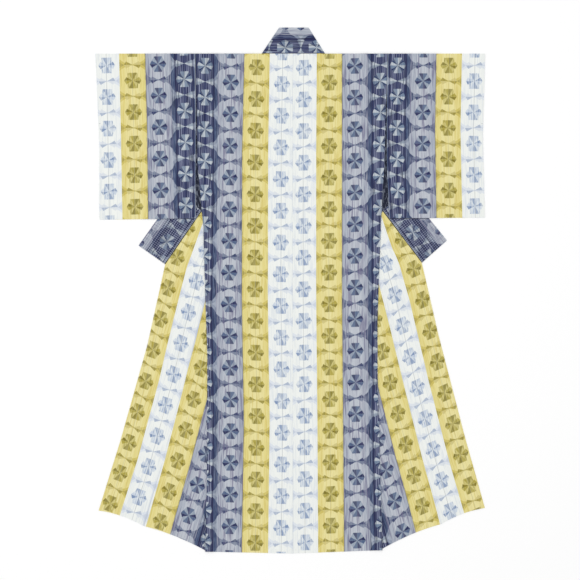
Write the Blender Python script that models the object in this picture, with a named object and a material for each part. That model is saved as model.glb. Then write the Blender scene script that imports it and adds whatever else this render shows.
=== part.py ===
"""A kimono laid flat with its back up and both fronts folded out from under the back.

Units are metres and +Z is up. The garment lies on the plane z = 0. While it is modelled, x = 0 is the
centre-back seam and y = 0 the shoulder line, so "down" runs along -y from the shoulder and "out" runs
sideways from the centre-back seam. At the end the whole is moved so that the origin is at the middle
of its box, on the ground.

Each half of the body is one length of cloth: up the back, over the shoulder and down the front. The
front is folded back on itself along a slanting line from the neck to the hem, so that its outer part,
the overlap panel and the collar spread out beside the back.
"""
from collections import namedtuple
from math import cos, pi, sin

import bpy
import numpy as np

# Walls and the gap left at every seam
CLOTH = 0.0010
COLLAR_CLOTH = 0.0016
GAP = 0.0003

# Heights of the middle of each layer above the ground
GROUND_LAYER = CLOTH / 2
COLLAR_LAYER = COLLAR_CLOTH / 2
FRONT_LAYER = COLLAR_CLOTH + GAP + CLOTH / 2
BACK_LAYER = FRONT_LAYER + CLOTH + GAP
UPPER_SLEEVE = CLOTH + GAP

# Body length at the centre back, and how far the back takes to settle on the ground inside the folds
CENTRE_HEM = 1.648
SETTLE = 0.035

# The slanting fold ends this far inside the side seam at the hem
FOLD_INSET = 0.008

# The front hems curve up between their ends by this much
HEM_CURVE = 0.008

# The neck seam lies this far above the shoulder line, clear of the shoulder folds
NECK_SEAM = 0.0015

# Back-neck stretch of the collar: its top, its turned-under sides, and how it settles inside them
NECK_TOP = 0.087
NECK_FLAP = 0.025
NECK_SETTLE = 0.012

# The sleeves lie on the collar near the body and settle on the ground between these two places
SLEEVE_RAISED_TO = 0.465
SLEEVE_GROUND_FROM = 0.504

# Steps: pieces around a fold, and columns across each stretch of cloth
FOLD_STEPS = 6
UNDER_COLUMNS = 4
CENTRE_COLUMNS = 2
TURNED_COLUMNS = 4
OVERLAP_COLUMNS = 4
COLLAR_COLUMNS = 3
NECK_ROWS = 4
SLEEVE_COLUMNS = 2

# Rows of a sleeve as parts of its length: the third is the end of the armhole
SLEEVE_ROWS = (0, 0.21, 0.42, 0.54, 0.77, 1)

# One half of the garment. Every table holds rows of (down, out), read as a line on the laid-out cloth.
# neck: where the shoulder meets the neck; side: body side seam; seam: collar seam down to the point of
# the overlap, then the overlap seam to the hem; edge: collar seam of the overlap, then its front edge;
# collar: outer edge of the collar; sleeve_seam and cuff: the sleeve's inner and outer edges.
Half = namedtuple("Half", "name sign neck side seam edge collar sleeve_seam cuff neck_foot neck_top")

LEFT = Half(
    name="left",
    sign=-1,
    neck=0.095,
    side=((0, 0.321), (0.231, 0.318), (0.36, 0.3165), (0.44, 0.309), (0.521, 0.300), (0.570, 0.295),
          (0.683, 0.292), (0.825, 0.288), (0.990, 0.282), (1.400, 0.283), (1.642, 0.289)),
    seam=((0.030, 0.1014), (0.318, 0.163), (0.821, 0.2904), (0.944, 0.3204), (1.274, 0.4095),
          (1.558, 0.490)),
    edge=((0.318, 0.163), (0.694, 0.4208), (0.960, 0.4795), (1.274, 0.568), (1.5065, 0.6405)),
    collar=((0.022, 0.186), (0.278, 0.2567), (0.632, 0.5089)),
    sleeve_seam=((0, 0.321), (0.231, 0.318), (0.5415, 0.3195)),
    cuff=((0, 0.651), (0.297, 0.638), (0.546, 0.638)),
    neck_foot=0.101,
    neck_top=0.044,
)
RIGHT = Half(
    name="right",
    sign=1,
    neck=0.0975,
    side=((0, 0.3125), (0.231, 0.3076), (0.366, 0.304), (0.449, 0.299), (0.521, 0.293), (0.558, 0.291),
          (0.759, 0.2835), (0.884, 0.2795), (1.036, 0.2795), (1.112, 0.281), (1.637, 0.2957)),
    seam=((0.030, 0.1051), (0.385, 0.195), (0.755, 0.2878), (0.927, 0.3274), (1.257, 0.4092),
          (1.551, 0.490)),
    edge=((0.385, 0.195), (0.689, 0.4257), (0.927, 0.4805), (1.257, 0.566), (1.498, 0.6336)),
    collar=((0.0225, 0.190), (0.341, 0.2869), (0.615, 0.5085)),
    sleeve_seam=((0, 0.3125), (0.231, 0.3076), (0.40, 0.3095), (0.541, 0.318)),
    cuff=((0, 0.6346), (0.2765, 0.627), (0.539, 0.6336)),
    neck_foot=0.105,
    neck_top=0.051,
)

# Down of the extra rows of each front between the seam's own bends, and the first row of the fold
EXTRA_ROWS = (0.45, 0.60, 1.10, 1.42)
FIRST_FOLD_ROW = 0.060
FIRST_OVERLAP_ROW = 0.020

# Colour and roughness of each sub-part
Finish = namedtuple("Finish", "red green blue roughness")
FINISHES = {
    "body": Finish(0.45, 0.46, 0.52, 0.9),
    "okumi": Finish(0.80, 0.76, 0.52, 0.9),
    "sleeve": Finish(0.55, 0.55, 0.45, 0.9),
    "collar": Finish(0.20, 0.23, 0.34, 0.9),
}


def remove_everything():
    for old in list(bpy.data.objects):
        bpy.data.objects.remove(old, do_unlink=True)


def at(table, down):
    """How far out a line of the table lies at this distance below the shoulder."""
    downs, outs = np.array(table).T
    return float(np.interp(down, downs, outs))


def fold_out(half, down):
    """The slanting fold: straight from the neck to just inside the side seam at the hem."""
    hem_down, hem_out = half.side[-1]
    return half.neck + (hem_out - FOLD_INSET - half.neck) * down / hem_down


def fold_down_of(half, seam_down):
    """Where a crosswise thread that reaches the seam at seam_down starts from the slanting fold."""
    ends_on_seam = (0, half.seam[-1][0])
    ends_on_fold = (0, half.side[-1][0])
    return float(np.interp(seam_down, ends_on_seam, ends_on_fold))


def seam_rows(half):
    """Rows of the front, by where they meet the seam: its bends, with extra rows between."""
    bends = [down for down, out in half.seam[1:]]
    return sorted(set(bends + [row for row in EXTRA_ROWS if row > half.seam[1][0]]))


def cloth_object(name, points, quads, wall, finish):
    """A sheet along the middle of the cloth, thickened to its wall on both sides."""
    mesh = bpy.data.meshes.new(name)
    mesh.from_pydata(points, [], quads)
    mesh.update()
    piece = bpy.data.objects.new(name, mesh)
    bpy.context.scene.collection.objects.link(piece)

    thicken = piece.modifiers.new("wall", "SOLIDIFY")
    thicken.thickness = wall
    thicken.offset = 0.0
    thicken.use_even_offset = True

    material = bpy.data.materials.new(name)
    material.use_nodes = True
    surface = material.node_tree.nodes["Principled BSDF"]
    surface.inputs["Base Color"].default_value = (finish.red, finish.green, finish.blue, 1)
    surface.inputs["Roughness"].default_value = finish.roughness
    surface.inputs["Metallic"].default_value = 0.0
    mesh.materials.append(material)
    return piece


def sheet(name, sign, rows, wall, finish, ring=False):
    """A sheet from rows of named places; neighbours that both rows hold are joined by a face.

    rows is a list of dictionaries from a column's name to its (out, up, height) place, where every
    row that holds two neighbouring columns lists them one after the other. A ring joins its last row
    to its first. The sign puts the half to the left (-1) or to the right (+1).
    """
    points, index = [], []
    for row in rows:
        index.append({})
        for column, (out, up, height) in row.items():
            index[-1][column] = len(points)
            points.append((sign * out, up, height))

    quads = []
    row_pairs = list(zip(index, index[1:] + index[:1]))
    if not ring:
        row_pairs.pop()
    for near, far in row_pairs:
        columns = list(near)
        for left, right in zip(columns, columns[1:]):
            neighbours_in_both = left in far and right in far
            if neighbours_in_both and follows(far, left, right):
                quads.append((near[left], near[right], far[right], far[left]))
    return cloth_object(name, points, quads, wall, finish)


def follows(row, left, right):
    columns = list(row)
    return columns.index(right) == columns.index(left) + 1


def across(count, start, end):
    """Evenly spaced values from start to end, both included."""
    return [start + (end - start) * step / count for step in range(count + 1)]


def curved_row(start, end, count, curve):
    """Places from start to end, as (out, up), raised at the middle by the curve."""
    row = []
    for part in across(count, 0, 1):
        out = start[0] + (end[0] - start[0]) * part
        up = start[1] + (end[1] - start[1]) * part + curve * 4 * part * (1 - part)
        row.append((out, up))
    return row


def back_row(half, down):
    """One row of the back, from the side seam over the folded front to the centre."""
    side = at(half.side, down) - GAP / 2
    fold = fold_out(half, down)
    hem_down = half.side[-1][0]

    def level(out):
        """The hem dips towards the centre, and every other row is straight across."""
        return float(np.interp(out, (0, side), (CENTRE_HEM, hem_down))) if down == hem_down else down

    row = {}
    for step, out in enumerate(across(UNDER_COLUMNS, side, fold)):
        row["under", step] = (out, -level(out), BACK_LAYER)
    for step, out in enumerate(across(CENTRE_COLUMNS, fold - SETTLE, GAP / 2)):
        up = NECK_SEAM - GAP / 2 if down == 0 else -level(out)
        row["centre", step] = (out, up, GROUND_LAYER)
    return row


def shoulder_row(half, turn):
    """One row of the shoulder fold, from the back at turn 0 to the front at turn 1."""
    radius = (BACK_LAYER - FRONT_LAYER) / 2
    middle = (BACK_LAYER + FRONT_LAYER) / 2
    up = radius * sin(pi * turn)
    height = middle + radius * cos(pi * turn)
    outs = across(UNDER_COLUMNS, at(half.side, 0) - GAP / 2, half.neck)
    return {("under", step): (out, up, height) for step, out in enumerate(outs)}


def front_row(half, down):
    """One row of the front: under the back to the slanting fold, round it, and out to the seam."""
    side = at(half.side, down) - GAP / 2
    fold = fold_out(half, down)
    row = {}
    for step, out in enumerate(across(UNDER_COLUMNS, side, fold)):
        row["under", step] = (out, -down, FRONT_LAYER)
    if down < FIRST_FOLD_ROW:
        return row

    radius = (FRONT_LAYER - GROUND_LAYER) / 2
    middle = (FRONT_LAYER + GROUND_LAYER) / 2
    for step in range(1, FOLD_STEPS):
        turn = pi * step / FOLD_STEPS
        row["turn", step] = (fold - radius * sin(turn), -down, middle + radius * cos(turn))

    hem_down = half.side[-1][0]
    seam_down = down * half.seam[-1][0] / hem_down
    seam = at(half.seam, seam_down) - GAP / 2
    curve = HEM_CURVE if down == hem_down else 0
    for step, place in enumerate(curved_row((fold, -down), (seam, -seam_down), TURNED_COLUMNS, curve)):
        row["turned", step] = (*place, GROUND_LAYER)
    return row


def make_body(half):
    """Half of the body: one length up the back, over the shoulder and down the folded front."""
    side_downs = [down for down, out in half.side]
    fold_downs = [fold_down_of(half, down) for down in seam_rows(half)]
    front_downs = sorted(set(side_downs[:-1] + fold_downs + [FIRST_FOLD_ROW]))
    rows = [back_row(half, down) for down in reversed(side_downs)]
    rows += [shoulder_row(half, step / FOLD_STEPS) for step in range(1, FOLD_STEPS)]
    rows += [front_row(half, down) for down in front_downs]
    return sheet("body_" + half.name, half.sign, rows, CLOTH, FINISHES["body"])


def make_overlap(half):
    """The overlap panel, from its point at the collar down to the hem."""
    point_down = half.seam[1][0]
    tip_down = half.edge[1][0]
    seam_hem = half.seam[-1][0]
    edge_hem = half.edge[-1][0]
    tip_on_seam = tip_down + seam_hem - edge_hem
    rows = []
    seam_downs = [point_down + FIRST_OVERLAP_ROW] + seam_rows(half)[1:] + [tip_on_seam]
    for seam_down in sorted(seam_downs):
        edge_down = float(np.interp(seam_down, (point_down, tip_on_seam, seam_hem),
                                    (point_down, tip_down, edge_hem)))
        seam = at(half.seam, seam_down) + GAP / 2
        edge = at(half.edge, edge_down) - (GAP / 2 if edge_down < tip_down else 0)
        curve = HEM_CURVE if seam_down == seam_hem else 0
        places = curved_row((seam, -seam_down), (edge, -edge_down), OVERLAP_COLUMNS, curve)
        rows.append({step: (*place, GROUND_LAYER) for step, place in enumerate(places)})
    return sheet("okumi_" + half.name, half.sign, rows, CLOTH, FINISHES["okumi"])


def make_collar(half):
    """One end of the collar, from under the neck down its seam to the tip beside the front edge."""
    sewn_edge = list(half.seam[:2]) + [half.edge[1]]
    rows = []
    for (sewn_down, sewn_out), (free_down, free_out) in zip(sewn_edge, half.collar):
        places = curved_row((sewn_out + GAP / 2, -sewn_down), (free_out, -free_down), COLLAR_COLUMNS, 0)
        rows.append({step: (*place, COLLAR_LAYER) for step, place in enumerate(places)})
    return sheet("collar_" + half.name, half.sign, rows, COLLAR_CLOTH, FINISHES["collar"])


def make_sleeve(half):
    """A sleeve as a flat bag: one length folded at the top and closed along its bottom."""
    seam_bottom = half.sleeve_seam[-1][0]
    cuff_bottom = half.cuff[-1][0]
    seam_top = half.sleeve_seam[0][1]
    cuff_top = half.cuff[0][1]
    radius = UPPER_SLEEVE / 2

    def place(length_part, width_part, beyond, above):
        """A place by its parts of the length and width, moved up the page and above the lower layer."""
        down = length_part * (seam_bottom + (cuff_bottom - seam_bottom) * width_part)
        seam = at(half.sleeve_seam, down) + GAP / 2
        out = seam + (at(half.cuff, down) - seam) * width_part
        lower = np.interp(out, (SLEEVE_RAISED_TO, SLEEVE_GROUND_FROM), (FRONT_LAYER, GROUND_LAYER))
        return (out, beyond - down, float(lower) + above)

    def width_part_of(out):
        return (out - seam_top) / (cuff_top - seam_top)

    width_parts = across(SLEEVE_COLUMNS, 0, width_part_of(SLEEVE_RAISED_TO)) \
        + across(SLEEVE_COLUMNS, width_part_of(SLEEVE_GROUND_FROM), 1)
    turns = [pi * step / FOLD_STEPS for step in range(1, FOLD_STEPS)]

    around = [(part, 0, UPPER_SLEEVE) for part in reversed(SLEEVE_ROWS)]
    around += [(0, radius * sin(turn), radius + radius * cos(turn)) for turn in turns]
    around += [(part, 0, 0) for part in SLEEVE_ROWS]
    around += [(1, -radius * sin(turn), radius - radius * cos(turn)) for turn in turns]
    rows = []
    for length_part, beyond, above in around:
        places = [place(length_part, width_part, beyond, above) for width_part in width_parts]
        rows.append(dict(enumerate(places)))
    return sheet("sleeve_" + half.name, half.sign, rows, CLOTH, FINISHES["sleeve"], ring=True)


def neck_side(edge):
    """One side of the back-neck collar as (out, height): the flap below, its turn, and the top."""
    upper_layer = GROUND_LAYER + CLOTH + GAP
    radius = (upper_layer - GROUND_LAYER) / 2
    flap_end = edge - NECK_FLAP
    flap_middle = edge - NECK_FLAP / 2
    side = [(flap_end, GROUND_LAYER), (flap_middle, GROUND_LAYER), (edge, GROUND_LAYER)]
    for step in range(1, FOLD_STEPS):
        turn = pi * step / FOLD_STEPS
        side.append((edge + radius * sin(turn), upper_layer - radius - radius * cos(turn)))
    side += [(edge, upper_layer), (flap_middle, upper_layer), (flap_end - CLOTH, upper_layer)]
    side.append((flap_end - NECK_SETTLE, GROUND_LAYER))
    return side


def make_neck_collar():
    """The stretch of the collar that stands up behind the neck, with its two sides turned under."""
    foot = NECK_SEAM + GAP / 2
    rows = []
    for part in across(NECK_ROWS, 0, 1):
        up = foot + (NECK_TOP - foot) * part
        row = {}
        for half in (LEFT, RIGHT):
            side = list(enumerate(neck_side(half.neck_foot + (half.neck_top - half.neck_foot) * part)))
            if half is RIGHT:
                side.reverse()
            for step, (out, height) in side:
                row[half.name, step] = (half.sign * out, up, height)
        rows.append(row)
    return sheet("collar_neck", 1, rows, CLOTH, FINISHES["collar"])


def centre_on_ground(pieces):
    """Move the whole so that the origin is at the middle of its box, where it meets the ground."""
    bpy.context.view_layer.update()
    graph = bpy.context.evaluated_depsgraph_get()
    corners = np.array([corner for piece in pieces for corner in piece.evaluated_get(graph).bound_box])
    middle = (corners.min(axis=0) + corners.max(axis=0)) / 2
    for piece in pieces:
        piece.location = (-middle[0], -middle[1], 0)


def main():
    remove_everything()
    pieces = [make_neck_collar()]
    for half in (LEFT, RIGHT):
        pieces.append(make_body(half))
        pieces.append(make_overlap(half))
        pieces.append(make_collar(half))
        pieces.append(make_sleeve(half))
    centre_on_ground(pieces)


main()
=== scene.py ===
"""Looks of a woman's cotton kimono laid flat, back up, with both fronts folded out beside the back.

Units are metres and +Z is up. A place on the laid-out garment is given as "out", the distance from the
centre-back seam, and "down", the distance below the shoulder line. The cloth's own places are u, across
the woven width, and v, along it; they are the UV map of every piece, in metres, so that the dyed pattern
and the weave follow each piece as it was cut.
"""
from collections import namedtuple
from math import atan2, cos, exp, hypot, pi, sin

import bpy
import numpy as np
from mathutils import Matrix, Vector


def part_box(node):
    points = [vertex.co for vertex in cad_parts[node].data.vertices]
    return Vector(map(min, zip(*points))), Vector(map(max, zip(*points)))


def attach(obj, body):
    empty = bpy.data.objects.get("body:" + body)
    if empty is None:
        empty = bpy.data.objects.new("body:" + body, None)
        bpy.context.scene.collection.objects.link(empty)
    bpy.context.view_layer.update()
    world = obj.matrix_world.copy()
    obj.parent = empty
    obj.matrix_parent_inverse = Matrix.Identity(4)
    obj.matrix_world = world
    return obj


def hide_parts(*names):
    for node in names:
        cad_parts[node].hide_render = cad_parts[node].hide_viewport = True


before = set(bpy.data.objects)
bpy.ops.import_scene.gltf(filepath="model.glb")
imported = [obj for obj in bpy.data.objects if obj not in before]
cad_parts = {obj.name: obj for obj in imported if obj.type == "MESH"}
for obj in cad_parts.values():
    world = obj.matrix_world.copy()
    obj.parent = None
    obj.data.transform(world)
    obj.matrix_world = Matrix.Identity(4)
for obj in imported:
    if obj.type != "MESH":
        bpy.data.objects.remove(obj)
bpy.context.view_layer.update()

bl_info = {
    "name": "Kimono laid flat",
    "version": (1, 0, 0),
    "blender": (4, 5, 0),
    "location": "3D View > Sidebar > Kimono",
    "description": "Cloth, sewing, dyed pattern and stage of a kimono laid flat",
    "category": "Object",
}

# Walls of the solids, the gap between them and the height of the middle of each layer
SOLID_WALL = 0.0010
SOLID_COLLAR = 0.0016
GAP = 0.0003
GROUND_LAYER = SOLID_WALL / 2
FRONT_LAYER = SOLID_COLLAR + GAP + SOLID_WALL / 2
BACK_LAYER = FRONT_LAYER + SOLID_WALL + GAP
UPPER_SLEEVE = SOLID_WALL + GAP

# How the garment lies
CENTRE_HEM = 1.648
HEM_DIP_LENGTH = 0.25
SETTLE = 0.035
FOLD_INSET = 0.008
HEM_CURVE = 0.008
HEM_CURVE_LENGTH = 0.10
FRONT_LEAVES_SLEEVE = (0.495, 0.525)
GROOVE_AT_TOP = 0.2
GROOVE_OPENS = (0.09, 0.18)
GROOVE_CLOSES = (0.42, 0.56)
NECK_SEAM = 0.0015
NECK_TOP = 0.087
NECK_FLAP = 0.025
NECK_SETTLE = 0.012
SLEEVE_RAISED_TO = 0.465
SLEEVE_GROUND_FROM = 0.504
FIRST_FOLD_ROW = 0.060
FIRST_OVERLAP_ROW = 0.020
SHOULDER_ROW = 1e-6
WRIST_OPENING = 0.230
UNDERARM_OPENING = 0.231

# Distances from a sewn edge and from a hem at which the cloth has a column or row of its own, and how
# sharply a seam rounds off
NEAR_SEAM = (0, 0.0009, 0.0018, 0.003, 0.005, 0.008, 0.011, 0.014)
NEAR_HEM = (0, 0.0012, 0.003, 0.008, 0.0118, 0.0130, 0.0142, 0.018)
COLLAR_NEAR_SEAM = (0, 0.002)
COLLAR_COLUMNS_FROM = 0.006
SEAM_ROUNDING = 0.0014

# Numbers of columns and rows between those, the step across the neck's flaps, and the turns of a fold
UNDER_COLUMNS = 18
CENTRE_COLUMNS = 14
TURNED_COLUMNS = 14
OVERLAP_COLUMNS = 16
COLLAR_COLUMNS = 14
NECK_COLUMNS = 14
NECK_ROWS = 10
NECK_STEP = 0.005
SLEEVE_COLUMNS = 34
SLEEVE_ROWS = 64
SETTLING_COLUMNS = 8
FOLD_STEPS = 6
FOLD_TURNS = [pi * step / FOLD_STEPS for step in range(1, FOLD_STEPS)]

# How far the hem stitches keep from the edges beside them, and their step down the page at the front edge
# as a multiple of the step along a hem
STITCH_FROM_SIDE = 0.010
STITCH_FROM_FOLD = 0.008
STITCH_FROM_SEAM = 0.006
STITCH_FROM_TIP = 0.012
EDGE_STITCH_STEP = 1.03

# Where thread bars lie: a part of the sleeve's width inside the cuff, and how far inside the sleeve's seam
# its cloth is sure to be found
BAR_INSIDE_CUFF = 0.012
BAR_INSIDE_SEAM = 0.0015

# The centre-back seam and the shoulder line in the frame of the model
CENTRE_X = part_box("body_left")[1][0] + GAP / 2
SHOULDER_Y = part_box("body_left")[1][1] - NECK_SEAM + GAP / 2

# One half of the garment. Every table holds rows of (down, out), read as a line on the laid-out cloth.
# neck: where the shoulder meets the neck; side: body side seam; seam: collar seam down to the point of
# the overlap, then the overlap seam; edge: collar seam of the overlap, then its front edge; collar: outer
# edge of the collar; sleeve_seam and cuff: the sleeve's inner and outer edges; neck_foot and neck_top: how
# far out the collar behind the neck reaches at its seam and at its top.
Half = namedtuple("Half", "name sign neck side seam edge collar sleeve_seam cuff neck_foot neck_top")

LEFT = Half(
    name="left",
    sign=-1,
    neck=0.095,
    side=((0, 0.321), (0.231, 0.318), (0.36, 0.3165), (0.44, 0.309), (0.521, 0.300), (0.570, 0.295),
          (0.683, 0.292), (0.825, 0.288), (0.990, 0.282), (1.400, 0.283), (1.642, 0.289)),
    seam=((0.030, 0.1014), (0.318, 0.163), (0.821, 0.2904), (0.944, 0.3204), (1.274, 0.4095),
          (1.558, 0.490)),
    edge=((0.318, 0.163), (0.694, 0.4208), (0.960, 0.4795), (1.274, 0.568), (1.5065, 0.6405)),
    collar=((0.022, 0.186), (0.278, 0.2567), (0.632, 0.5089)),
    sleeve_seam=((0, 0.321), (0.231, 0.318), (0.5415, 0.3195)),
    cuff=((0, 0.651), (0.297, 0.638), (0.546, 0.638)),
    neck_foot=0.101,
    neck_top=0.044,
)
RIGHT = Half(
    name="right",
    sign=1,
    neck=0.0975,
    side=((0, 0.3125), (0.231, 0.3076), (0.366, 0.304), (0.449, 0.299), (0.521, 0.293), (0.558, 0.291),
          (0.759, 0.2835), (0.884, 0.2795), (1.036, 0.2795), (1.112, 0.281), (1.637, 0.2957)),
    seam=((0.030, 0.1051), (0.385, 0.195), (0.755, 0.2878), (0.927, 0.3274), (1.257, 0.4092),
          (1.551, 0.490)),
    edge=((0.385, 0.195), (0.689, 0.4257), (0.927, 0.4805), (1.257, 0.566), (1.498, 0.6336)),
    collar=((0.0225, 0.190), (0.341, 0.2869), (0.615, 0.5085)),
    sleeve_seam=((0, 0.3125), (0.231, 0.3076), (0.40, 0.3095), (0.541, 0.318)),
    cuff=((0, 0.6346), (0.2765, 0.627), (0.539, 0.6336)),
    neck_foot=0.105,
    neck_top=0.051,
)

# The cloth is woven with four stripes side by side: white, yellow, grey and navy, by rising u
STRIPE = 0.084
PITCH = 0.1045

# Where stripes meet on each piece. Each line has the u of its meeting and rows of (down, out). The rows
# of wheels are placed by start, how far down the first wheels of the white stripe lie at the centre-back
# seam, by slant, how much further up they lie for each metre out, and by pitch, their distance.
Stripes = namedtuple("Stripes", "lines start slant pitch")

BACK_STRIPES = {
    "left": Stripes(
        lines=((STRIPE, ((0.06, 0.0770), (0.32, 0.0812), (0.81, 0.0822), (1.21, 0.0762), (1.57, 0.0805))),
               (2 * STRIPE, ((0.06, 0.1610), (0.32, 0.1670), (0.81, 0.1680), (1.21, 0.1614),
                             (1.57, 0.1670))),
               (3 * STRIPE, ((0.06, 0.2472), (0.32, 0.2470), (0.81, 0.2535), (1.21, 0.2465),
                             (1.57, 0.2505)))),
        start=0.1003, slant=0.030, pitch=0.1046),
    "right": Stripes(
        lines=((STRIPE, ((0.06, 0.0789), (0.32, 0.0772), (0.81, 0.0772), (1.21, 0.0812), (1.57, 0.0832))),
               (2 * STRIPE, ((0.06, 0.1627), (0.32, 0.1624), (0.81, 0.1627), (1.21, 0.1660),
                             (1.57, 0.1690))),
               (3 * STRIPE, ((0.06, 0.2468), (0.32, 0.2475), (0.81, 0.2475), (1.21, 0.2500),
                             (1.57, 0.2555)))),
        start=0.0469, slant=0.035, pitch=0.1044),
}
SLEEVE_STRIPES = {
    "left": Stripes(
        lines=((0.3297, ((0.06, 0.3203), (0.231, 0.3180), (0.541, 0.3195))),
               (3 * STRIPE, ((0.06, 0.4023), (0.25, 0.3977), (0.45, 0.3930))),
               (2 * STRIPE, ((0.06, 0.4854), (0.25, 0.4805), (0.45, 0.4782))),
               (STRIPE, ((0.06, 0.5716), (0.25, 0.5673), (0.45, 0.5636)))),
        start=0.0221, slant=-0.026, pitch=0.1041),
    "right": Stripes(
        lines=((0.3292, ((0.06, 0.3112), (0.231, 0.3076), (0.40, 0.3095), (0.541, 0.3180))),
               (3 * STRIPE, ((0.06, 0.3878), (0.25, 0.3851), (0.45, 0.3854))),
               (2 * STRIPE, ((0.06, 0.4726), (0.25, 0.4693), (0.45, 0.4726))),
               (STRIPE, ((0.06, 0.5570), (0.25, 0.5531), (0.45, 0.5574)))),
        start=0.0896, slant=0.0, pitch=0.1031),
}

# The turned-out fronts and the overlaps slant. Their stripes run along the front edge, and their rows of
# wheels are placed along that direction: start is measured so, and slant across it, inwards.
OVERLAP_STRIPES = {
    "left": Stripes(
        lines=((STRIPE, ((0.58, 0.305), (0.64, 0.3265), (0.705, 0.350), (0.772, 0.3675), (0.85, 0.3870),
                         (0.957, 0.4135), (1.076, 0.441), (1.34, 0.5125), (1.523, 0.571))),),
        start=0.8047, slant=0.085, pitch=0.1052),
    "right": Stripes(
        lines=((STRIPE, ((0.60, 0.314), (0.64, 0.3274), (0.667, 0.3406), (0.693, 0.351), (0.812, 0.385),
                         (1.076, 0.4475), (1.34, 0.515), (1.514, 0.565))),),
        start=0.7405, slant=0.165, pitch=0.1053),
}
FRONT_STRIPES = {
    "left": Stripes(
        lines=((2 * STRIPE, ((0.85, 0.2106), (0.957, 0.2389), (1.096, 0.2725), (1.175, 0.2925),
                             (1.254, 0.3130), (1.34, 0.3350), (1.472, 0.3725), (1.586, 0.4052))),),
        start=1.5558, slant=0.0925, pitch=0.1046),
    "right": Stripes(
        lines=((2 * STRIPE, ((0.80, 0.2077), (0.904, 0.2341), (1.016, 0.2610), (1.175, 0.3005),
                             (1.333, 0.3403), (1.492, 0.3840), (1.582, 0.4066))),),
        start=1.5055, slant=0.165, pitch=0.1053),
}

# Sine and cosine of the angle at which those stripes slant
SLANT = {"left": (0.2655, 0.9641), "right": (0.2475, 0.9689)}

# On the collar the navy stripe lies beside the sewn edge, whose u this is, and the grey one outside it.
# The first wheel lies this far from the collar's end.
COLLAR_SEWN_U = 0.3313
COLLAR_WHEEL_FROM_END = {"left": 0.0644, "right": 0.0967}

# Behind the neck the sewn edge has this u, and its cloth is eased in a little there. One wheel lies this
# far right of the centre-back seam.
NECK_FOOT_U = 0.3130
NECK_EASED = 0.0085
NECK_EASED_LENGTH = 0.008
NECK_WHEEL_OUT = -0.0257

# How far below the shoulder line a painted shadow darkens the collar: along the neck's seam, and where the
# bottoms of the sleeves lie on its ends
NECK_SHADOW_LINE = -0.0022
SLEEVE_FOOT_SHADOW = 0.5436

# How much nearer to the selvage the cloth of the front is, where it lies under the back
FRONT_SHIFT = 0.027

# Soft ridges left by folding and laying out: (out, down) of both ends with left negative,
# height and half-width
Ridge = namedtuple("Ridge", "start end height half_width")
RIDGES = (
    Ridge((-0.06, 0.16), (-0.18, 0.62), 0.0012, 0.016),
    Ridge((-0.20, 0.40), (-0.24, 0.98), 0.0010, 0.020),
    Ridge((-0.03, 0.78), (-0.11, 1.34), 0.0013, 0.018),
    Ridge((-0.19, 1.06), (-0.15, 1.60), 0.0012, 0.022),
    Ridge((0.05, 0.30), (0.13, 0.74), 0.0011, 0.017),
    Ridge((0.22, 0.22), (0.25, 0.80), 0.0012, 0.019),
    Ridge((0.04, 0.92), (0.07, 1.48), 0.0012, 0.020),
    Ridge((0.16, 0.96), (0.22, 1.58), 0.0013, 0.018),
    Ridge((-0.36, 0.10), (-0.52, 0.16), 0.0010, 0.017),
    Ridge((-0.42, 0.33), (-0.61, 0.30), 0.0012, 0.018),
    Ridge((-0.50, 0.47), (-0.63, 0.43), 0.0010, 0.014),
    Ridge((0.35, 0.13), (0.50, 0.09), 0.0011, 0.018),
    Ridge((0.45, 0.27), (0.62, 0.31), 0.0012, 0.017),
    Ridge((0.40, 0.46), (0.60, 0.44), 0.0010, 0.016),
    Ridge((-0.39, 0.86), (-0.48, 1.22), 0.0012, 0.015),
    Ridge((-0.44, 1.16), (-0.56, 1.47), 0.0014, 0.017),
    Ridge((-0.33, 1.20), (-0.41, 1.54), 0.0012, 0.016),
    Ridge((0.37, 0.80), (0.45, 1.14), 0.0011, 0.015),
    Ridge((0.47, 1.12), (0.56, 1.45), 0.0014, 0.018),
    Ridge((0.34, 1.26), (0.42, 1.52), 0.0012, 0.016),
)


def metres(name, description, default):
    """A setting in metres."""
    return bpy.props.FloatProperty(name=name, description=description, default=default, unit="LENGTH")


def thread_size(name, description, default):
    """A setting of a thread's length, width and height in metres."""
    return bpy.props.FloatVectorProperty(
        name=name, description=description, default=default, subtype="XYZ_LENGTH")


def number(name, description, default):
    """A setting without a unit."""
    return bpy.props.FloatProperty(name=name, description=description, default=default)


def seen_colour(name, description, default):
    """A setting of a colour as it is seen."""
    return bpy.props.FloatVectorProperty(
        name=name, description=description, default=default, subtype="COLOR_GAMMA", min=0, max=1)


class KimonoCloth(bpy.types.PropertyGroup):
    """Sizes of the cloth and its sewing."""

    wall: metres("Cloth", "Wall of one layer of cloth", 0.0008)
    collar_wall: metres("Collar cloth", "Wall of each of the collar's two layers", 0.0006)
    fineness: metres("Mesh step", "Longest side of a face of the cloth", 0.0085)
    seam_width: metres("Seam width", "Width of the turned-in edges beside a seam", 0.012)
    seam_swell: metres("Seam thickness", "How much the turned-in edges lift the cloth", 0.00045)
    armhole_groove: metres(
        "Armhole groove", "How far body and sleeve each stand back from their open seam", 0.0020)
    hem_width: metres("Hem", "Width of the turned-under hem", 0.014)
    hem_swell: metres("Hem thickness", "How much higher the doubled hem stands", 0.00035)
    stitch_step: metres("Hem stitches", "Distance between the stitches that hold a hem", 0.012)
    stitch_inside: metres(
        "Stitches from the fold", "How far inside a hem's inner edge its stitches lie", 0.0025)
    stitch_size: thread_size(
        "Stitch", "Length, width and height of a hem stitch", (0.0016, 0.00045, 0.0004))
    bar_size: thread_size(
        "Thread bar", "Length, width and height of a bar at the end of an opening",
        (0.0065, 0.0011, 0.0009))


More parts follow.
